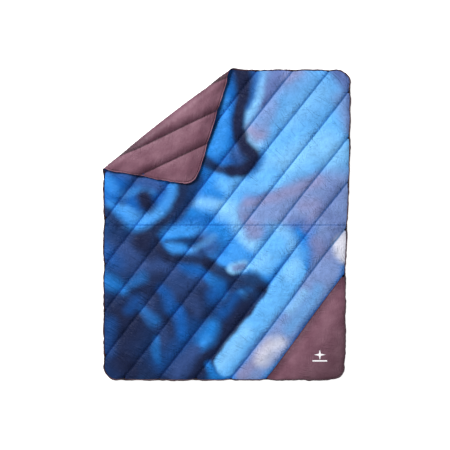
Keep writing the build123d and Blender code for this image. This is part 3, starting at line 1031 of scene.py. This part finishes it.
for half, name in ((-1, "lower"), (1, "upper")):
    for up, side, yarn in ((1, "face", blue_thread), (-1, "lining", mauve_thread)):
        rows = quilt_runs(half, up) + edge_runs(half, up)
        made = stitches(f"stitches_{side}_{name}", rows, yarn)
        if half < 0:
            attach(made, "lower_half")
        else:
            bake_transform(made)
        if side == "face":
            nodes = [f"quilt_thread_{name}", f"edge_thread_{name}", f"seam_thread_{name}"]
            nodes += ["quilt_thread_corner", "edge_thread_corner"] if half > 0 else []
            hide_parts(*nodes)

# Down: one piece for each CAD tube, under the fabric.
pattern_tree = KDTree(len(flat))
for i, (x, y) in enumerate(flat):
    pattern_tree.insert((x, y, 0), i)
pattern_tree.balance()
fluff = loose_down()
borders = [-1.14, *LINES, 1.14]
zones = {
    "lower": (range(3, 12), "lower_half", lambda p: p[:, 1] < -0.02),
    "upper": (range(2, 10), "upper_half", lambda p: (p[:, 1] > 0.02) & (p @ FOLD_OUT < FOLD_AT - BEND)),
    "corner": (range(0, 3), "turned_corner", lambda p: p @ FOLD_OUT > FOLD_AT + BEND),
}
for zone, (tubes, body, region) in zones.items():
    for i in tubes:
        made = down(f"fill_{zone}_{i + 1:02d}", borders[i], borders[i + 1], region, fluff)
        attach(made, body)
        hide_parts(f"down_{zone}_{i + 1:02d}")


# The mark on the corner patch: a plain star over a bar, laid half a millimetre over the cloth.
STAR = (0.548, -0.762)  # its middle, on the spread blanket
STAR_UP, STAR_SIDE, STAR_WAIST = 0.030, 0.034, 0.0085  # how far its points and its hollows reach
BAR_DOWN, BAR_LONG, BAR_THICK = 0.036, 0.086, 0.008


def filled(middle, corners, step=0.003):
    """Points and triangles that fill a closed outline seen from its middle, finely enough to drape."""
    outline = []
    for a, b in zip(corners, np.roll(corners, -1, axis=0)):
        n = max(1, round(float(np.linalg.norm(b - a)) / step))
        outline += [a + (b - a) * i / n for i in range(n)]
    outline = np.array(outline)
    rings = max(2, round(float(np.linalg.norm(outline - middle, axis=1).max()) / step))
    n = len(outline)
    points = [middle + (outline - middle) * (k + 1) / rings for k in range(rings)]
    here = np.arange(n)
    ahead = np.roll(here, -1)
    faces = [np.column_stack([np.full(n, rings * n), here, ahead])]
    for k in range(0, (rings - 1) * n, n):
        faces.append(np.column_stack([here + k, here + k + n, ahead + k + n]))
        faces.append(np.column_stack([here + k, ahead + k + n, ahead + k]))
    return np.concatenate([*points, middle[None]]), np.concatenate(faces)


def emblem():
    """Points and triangles of the whole mark on the spread blanket."""
    star_middle = np.array(STAR)
    star = []
    for k in range(8):
        reach = STAR_WAIST if k % 2 else (STAR_SIDE, STAR_UP)[k // 2 % 2]
        star.append(star_middle + reach * np.array((cos(pi / 4 * k), sin(pi / 4 * k))))
    bar_middle = star_middle - (0, BAR_DOWN)
    bar = bar_middle + np.array(((-1, -1), (1, -1), (1, 1), (-1, 1))) * (BAR_LONG / 2, BAR_THICK / 2)
    star_points, star_faces = filled(star_middle, np.array(star))
    bar_points, bar_faces = filled(bar_middle, bar)
    faces = np.concatenate([star_faces, bar_faces + len(star_points)])
    return np.concatenate([star_points, bar_points]), faces


mark_flat, mark_faces = emblem()
mark_points = []
for x, y in mark_flat:
    hit, where, normal, _ = patch.ray_cast(Vector((x, y, 1)), Vector((0, 0, -1)))
    mark_points.append(tuple(where + normal * 0.0005) if hit else (x, y, LOFT))
mark = piece("corner_emblem", np.array(mark_points), mark_faces, mark_print(), mark_flat)
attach(mark, "lower_half")
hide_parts("corner_mark")

# ------------------------ studio


def floor():
    m = Nodes("floor")
    place = m.place()
    tone = m.mix(m.noise(place, 3.0), (0.93, 0.93, 0.93), (0.95, 0.95, 0.95))
    m.shader.inputs["Emission Color"].default_value = (1, 1, 1, 1)
    m.shader.inputs["Emission Strength"].default_value = 0.75
    m.finish(tone, 0.9, [])
    mesh = bpy.data.meshes.new("floor")
    mesh.from_pydata([(-6, -6, 0), (6, -6, 0), (6, 6, 0), (-6, 6, 0)], [], [(0, 1, 2, 3)])
    mesh.materials.append(m.material)
    ground = bpy.data.objects.new("floor", mesh)
    bpy.context.collection.objects.link(ground)
    return ground


def softbox(name, place, size, watts):
    """A square area light that faces the blanket's middle."""
    light = bpy.data.lights.new(name, "AREA")
    light.energy = watts
    light.size = size
    made = bpy.data.objects.new(name, light)
    made.location = place
    made.rotation_euler = (-Vector(place)).to_track_quat("-Z", "Y").to_euler()
    bpy.context.collection.objects.link(made)


floor()
softbox("key", (-5.4, 4.7, 6.7), 3.0, 1300)
softbox("fill", (1.5, -1.5, 4.0), 2.5, 20)
world = bpy.data.worlds.new("studio")
world.use_nodes = True
world.node_tree.nodes["Background"].inputs[0].default_value = (1, 1, 1, 1)
world.node_tree.nodes["Background"].inputs[1].default_value = 0.26
bpy.context.scene.world = world
bpy.context.scene.view_settings.view_transform = "Standard"

lens = bpy.data.cameras.new("camera")
lens.lens = 85
camera = bpy.data.objects.new("camera", lens)
camera.location = (-0.009, 0.0, 6.27)
bpy.context.collection.objects.link(camera)
bpy.context.scene.camera = camera
